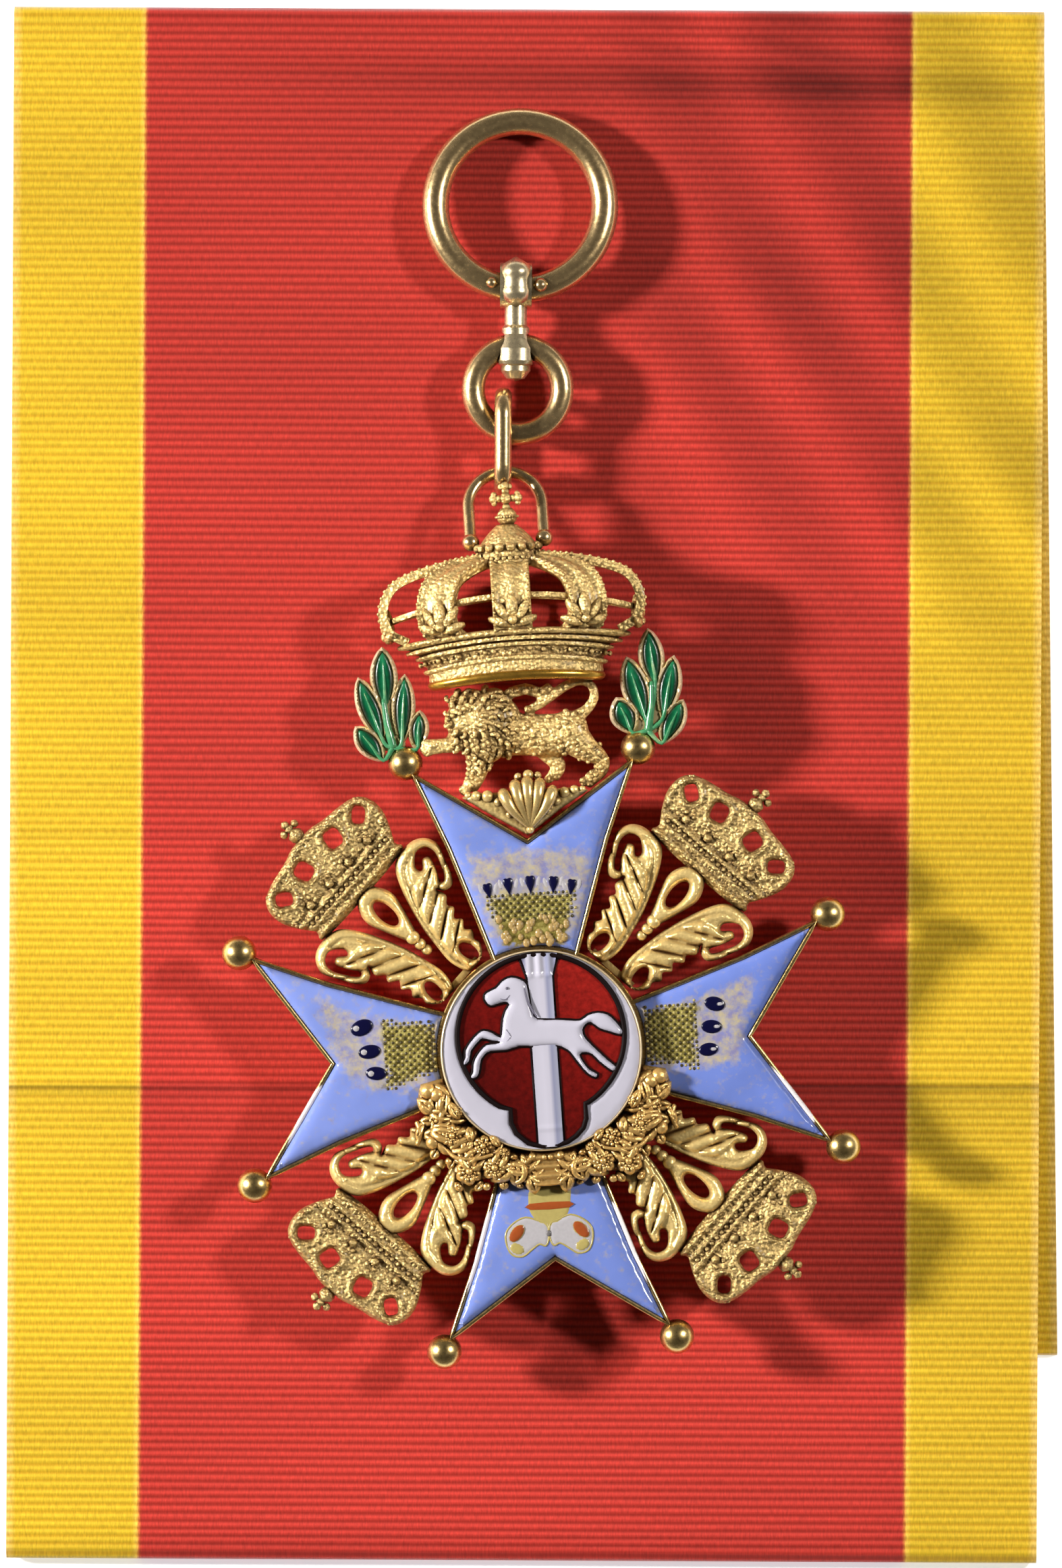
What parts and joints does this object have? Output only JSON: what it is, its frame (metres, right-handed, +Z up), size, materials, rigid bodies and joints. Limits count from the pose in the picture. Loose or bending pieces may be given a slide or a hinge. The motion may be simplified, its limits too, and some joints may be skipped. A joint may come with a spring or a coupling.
{
  "type": "order sash badge lying on its folded sash",
  "caption": "Sash badge of an order: enamelled cross with a round medallion, flower garland, lion, crown and hanging rings, lying on its folded silk sash.",
  "frame": {"origin": "middle of the whole piece's footprint, on the surface that it lies on", "axes": "+X across the sash to the right, +Y along the sash towards the suspension ring, +Z up out of the table"},
  "size_m": [0.103, 0.1528, 0.0143],
  "materials": {
    "sash_silk": "ribbed silk, red with yellow edges",
    "gilt": "polished and granular gilding",
    "ring_gilt": "worn polished gilding",
    "blue_enamel": "glossy opalescent enamel",
    "green_enamel": "glossy translucent enamel",
    "white_enamel": "glossy opaque enamel",
    "red_enamel": "glossy dark enamel"
  },
  "bodies": {
    "root": {"sash_ribbon": "sash_silk", "suspension_ring": "ring_gilt", "ring_clasp": "ring_gilt", "small_ring": "ring_gilt", "long_link": "ring_gilt", "crown_bail": "ring_gilt", "crown": "gilt", "lion": "gilt", "shell_base": "gilt", "cross_frame": "gilt", "enamel_top": "blue_enamel", "enamel_left": "blue_enamel", "enamel_bottom": "blue_enamel", "enamel_right": "blue_enamel", "reverse_boss": "gilt", "corner_ne": "gilt", "corner_nw": "gilt", "corner_sw": "gilt", "corner_se": "gilt", "laurel_left": "gilt", "laurel_right": "gilt", "laurel_enamel_left": "green_enamel", "laurel_enamel_right": "green_enamel", "medallion_bezel": "gilt", "medallion_white": "white_enamel", "medallion_red": "red_enamel", "medallion_column": "white_enamel", "medallion_horse": "white_enamel", "garland": "gilt"}
  },
  "joints": []
}
